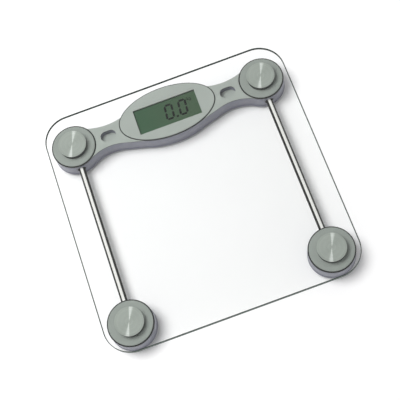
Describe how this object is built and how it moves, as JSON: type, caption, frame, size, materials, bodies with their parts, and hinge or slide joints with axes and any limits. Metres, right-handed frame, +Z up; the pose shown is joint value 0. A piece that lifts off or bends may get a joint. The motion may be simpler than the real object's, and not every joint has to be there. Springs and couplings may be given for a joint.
{
  "type": "bathroom scale",
  "caption": "Square glass bathroom scale on round silver feet, with an oval display panel, finger recesses in its arms and slim chrome side tubes.",
  "frame": {"origin": "on the floor, under the middle of the glass platform", "axes": "+Z up out of the glass, +Y towards the display panel, +X to the right of a person who reads the display"},
  "size_m": [0.3, 0.3, 0.04],
  "materials": {
    "clear_glass": "clear polished",
    "silver_paint": "satin silver paint",
    "housing_grey": "fine satin",
    "turned_steel": "turned",
    "dark_plastic": "matte",
    "chrome": "polished",
    "black_rubber": "matte",
    "grey_rubber": "soft",
    "white_plastic": "satin",
    "cell_steel": "rolled",
    "screw_steel": "zinc",
    "window_clear": "clear",
    "lcd_glass": "grey-green",
    "board_green": "solder mask",
    "component_black": "matte",
    "contact_metal": "nickel",
    "coin_steel": "polished",
    "lead_red": "insulation"
  },
  "bodies": {
    "scale": {"base_screws": "screw_steel", "battery_contacts": "contact_metal", "bezel_gasket": "black_rubber", "board_components": "component_black", "board_screws": "screw_steel", "cap_gaskets": "black_rubber", "circuit_board": "board_green", "coin_cell": "coin_steel", "contact_strips": "grey_rubber", "display_bezel": "silver_paint", "foot_cap_front_left": "silver_paint", "foot_cap_front_right": "silver_paint", "foot_cap_rear_left": "silver_paint", "foot_cap_rear_right": "silver_paint", "foot_cup_front_left": "housing_grey", "foot_cup_front_right": "housing_grey", "foot_cup_rear_left": "housing_grey", "foot_cup_rear_right": "housing_grey", "front_left_base": "housing_grey", "front_left_housing": "housing_grey", "front_right_base": "housing_grey", "front_right_housing": "housing_grey", "glass_platform": "clear_glass", "holder_screws": "screw_steel", "lcd_panel": "lcd_glass", "lcd_reflector": "white_plastic", "lcd_window": "window_clear", "left_tube": "chrome", "load_cell_front_left": "cell_steel", "load_cell_front_right": "cell_steel", "load_cell_holder_front_left": "white_plastic", "load_cell_holder_front_right": "white_plastic", "load_cell_holder_rear_left": "white_plastic", "load_cell_holder_rear_right": "white_plastic", "load_cell_rear_left": "cell_steel", "load_cell_rear_right": "cell_steel", "mount_collar_front_left": "dark_plastic", "mount_collar_front_right": "dark_plastic", "mount_collar_rear_left": "dark_plastic", "mount_collar_rear_right": "dark_plastic", "mount_disc_front_left": "turned_steel", "mount_disc_front_right": "turned_steel", "mount_disc_rear_left": "turned_steel", "mount_disc_rear_right": "turned_steel", "mount_screws": "screw_steel", "rear_base": "housing_grey", "rear_housing": "housing_grey", "right_tube": "chrome", "rubber_pad_front_left": "black_rubber", "rubber_pad_front_right": "black_rubber", "rubber_pad_rear_left": "black_rubber", "rubber_pad_rear_right": "black_rubber", "sensor_leads": "lead_red", "tube_bushes": "grey_rubber", "unit_switch": "component_black"},
    "battery_cover": {"battery_cover": "housing_grey"},
    "unit_button": {"unit_button": "housing_grey", "switch_plunger": "white_plastic"}
  },
  "joints": [
    {"name": "battery_cover_turn", "type": "hinge", "parent": "scale", "child": "battery_cover", "pos_m": [-0.028, 0.1148, 0.0045], "axis": [0, 0, 1], "range_deg": [0, 40]},
    {"name": "unit_button_press", "type": "slide", "parent": "scale", "child": "unit_button", "axis": [0, 0, 1], "range_m": [0, 0.0004], "stiffness_N_per_m": 1500}
  ]
}
